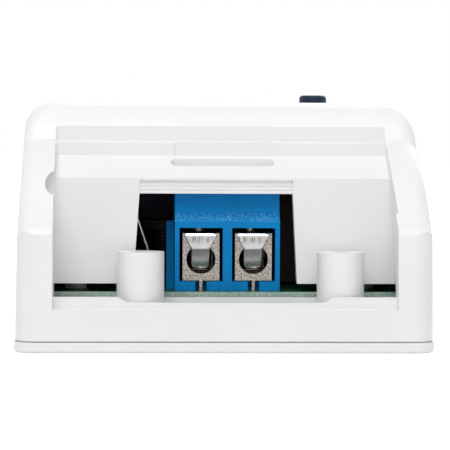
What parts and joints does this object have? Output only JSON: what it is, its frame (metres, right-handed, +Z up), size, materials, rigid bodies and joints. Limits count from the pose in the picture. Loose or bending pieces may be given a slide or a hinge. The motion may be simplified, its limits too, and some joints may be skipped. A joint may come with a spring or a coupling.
{
  "type": "smart relay module",
  "caption": "Inline relay module in a white box with sloped ends, a blue screw terminal block in an open end bay, a covered far end and a push button on top.",
  "frame": {"origin": "middle of the flat underside", "axes": "+Z up, +Y along the case from the open end to the covered end, +X to the right seen from the open end"},
  "size_m": [0.038, 0.088, 0.024],
  "materials": {
    "white_case": "moulded white, satin gloss",
    "navy_button": "dark moulded",
    "black_plastic": "dark moulded",
    "relay_blue": "moulded",
    "blue_terminal": "moulded nylon, satin",
    "board_laminate": "solder resist over glass laminate",
    "solder_tin": "tin",
    "tinned_wire": "tinned",
    "zinc_steel": "zinc plated",
    "nickel_cage": "nickel plated",
    "nickel_leaf": "nickel plated, bright",
    "soft_iron": "plated",
    "copper_wire": "enamelled copper",
    "copper_track": "plated copper",
    "contact_brass": "plain",
    "ferrite": "sintered",
    "yellow_tape": "polyester tape",
    "dark_sleeve": "shrunk sleeve",
    "brown_box": "epoxy",
    "ceramic_tan": "ceramic",
    "lamp_lens": "clear"
  },
  "bodies": {
    "case": {"base_cover": "white_case", "bridge_rectifier": "black_plastic", "capacitor_leads": "tinned_wire", "chip_capacitors": "ceramic_tan", "chip_feet": "tinned_wire", "chip_resistors": "black_plastic", "choke_core": "ferrite", "choke_winding": "dark_sleeve", "circuit_board": "board_laminate", "cover_screws": "zinc_steel", "crystal": "zinc_steel", "end_cover": "white_case", "far_clamp_cages": "nickel_cage", "far_terminal_housing": "blue_terminal", "film_capacitor": "brown_box", "fusible_resistor": "brown_box", "mains_capacitors": "dark_sleeve", "memory_chip": "black_plastic", "near_clamp_cages": "nickel_cage", "near_terminal_housing": "blue_terminal", "output_capacitor": "dark_sleeve", "output_diode": "black_plastic", "power_controller_chip": "black_plastic", "printed_antenna": "copper_track", "radio_chip": "black_plastic", "relay_base": "relay_blue", "relay_bobbin": "black_plastic", "relay_case": "relay_blue", "relay_core": "soft_iron", "relay_fixed_contact": "contact_brass", "relay_pins": "tinned_wire", "relay_transistor": "black_plastic", "relay_winding": "copper_wire", "relay_yoke": "soft_iron", "resistor_wires": "tinned_wire", "small_leads": "tinned_wire", "solder_joints": "solder_tin", "status_led": "lamp_lens", "switch_body": "black_plastic", "switch_frame": "zinc_steel", "switch_legs": "tinned_wire", "transformer_bobbin": "black_plastic", "transformer_core": "ferrite", "transformer_pins": "tinned_wire", "transformer_winding": "yellow_tape", "upper_housing": "white_case", "varistor": "brown_box", "voltage_regulator": "black_plastic"},
    "button": {"button": "navy_button", "switch_plunger": "black_plastic"},
    "relay_armature": {"relay_armature": "soft_iron", "relay_moving_contact": "contact_brass"},
    "near_left_clamp_leaf": {"near_left_clamp_leaf": "nickel_leaf"},
    "near_left_clamp_screw": {"near_left_clamp_screw": "zinc_steel"},
    "near_right_clamp_leaf": {"near_right_clamp_leaf": "nickel_leaf"},
    "near_right_clamp_screw": {"near_right_clamp_screw": "zinc_steel"},
    "far_left_clamp_leaf": {"far_left_clamp_leaf": "nickel_leaf"},
    "far_left_clamp_screw": {"far_left_clamp_screw": "zinc_steel"},
    "far_right_clamp_leaf": {"far_right_clamp_leaf": "nickel_leaf"},
    "far_right_clamp_screw": {"far_right_clamp_screw": "zinc_steel"}
  },
  "joints": [
    {"name": "button_press", "type": "slide", "parent": "case", "child": "button", "axis": [0, 0, -1], "range_m": [0, 0.0003], "stiffness_N_per_m": 400},
    {"name": "relay_armature_swing", "type": "hinge", "parent": "case", "child": "relay_armature", "pos_m": [-0.00775, 0.0071, 0.01687], "axis": [-1, 0, 0], "range_deg": [0, 2.5], "stiffness_Nm_per_rad": 0.02},
    {"name": "near_left_clamp_lower", "type": "slide", "parent": "case", "child": "near_left_clamp_leaf", "axis": [0, 0, -1], "range_m": [-0.0002, 0.00055]},
    {"name": "near_left_screw_turn", "type": "hinge", "parent": "near_left_clamp_leaf", "child": "near_left_clamp_screw", "pos_m": [-0.00194, -0.029, 0.012], "axis": [0, 0, -1], "range_deg": [-105, 285]},
    {"name": "near_right_clamp_lower", "type": "slide", "parent": "case", "child": "near_right_clamp_leaf", "axis": [0, 0, -1], "range_m": [-0.0002, 0.00055]},
    {"name": "near_right_screw_turn", "type": "hinge", "parent": "near_right_clamp_leaf", "child": "near_right_clamp_screw", "pos_m": [0.00296, -0.029, 0.012], "axis": [0, 0, -1], "range_deg": [-105, 285]},
    {"name": "far_left_clamp_lower", "type": "slide", "parent": "case", "child": "far_left_clamp_leaf", "axis": [0, 0, -1], "range_m": [-0.0002, 0.00055]},
    {"name": "far_left_screw_turn", "type": "hinge", "parent": "far_left_clamp_leaf", "child": "far_left_clamp_screw", "pos_m": [0.00194, 0.029, 0.012], "axis": [0, 0, -1], "range_deg": [-105, 285]},
    {"name": "far_right_clamp_lower", "type": "slide", "parent": "case", "child": "far_right_clamp_leaf", "axis": [0, 0, -1], "range_m": [-0.0002, 0.00055]},
    {"name": "far_right_screw_turn", "type": "hinge", "parent": "far_right_clamp_leaf", "child": "far_right_clamp_screw", "pos_m": [-0.00296, 0.029, 0.012], "axis": [0, 0, -1], "range_deg": [-105, 285]}
  ],
  "couplings": [
    {"joint": "near_left_screw_turn", "follows": "near_left_clamp_lower", "rad_per_m": 8975.9},
    {"joint": "near_right_screw_turn", "follows": "near_right_clamp_lower", "rad_per_m": 8975.9},
    {"joint": "far_left_screw_turn", "follows": "far_left_clamp_lower", "rad_per_m": 8975.9},
    {"joint": "far_right_screw_turn", "follows": "far_right_clamp_lower", "rad_per_m": 8975.9}
  ]
}
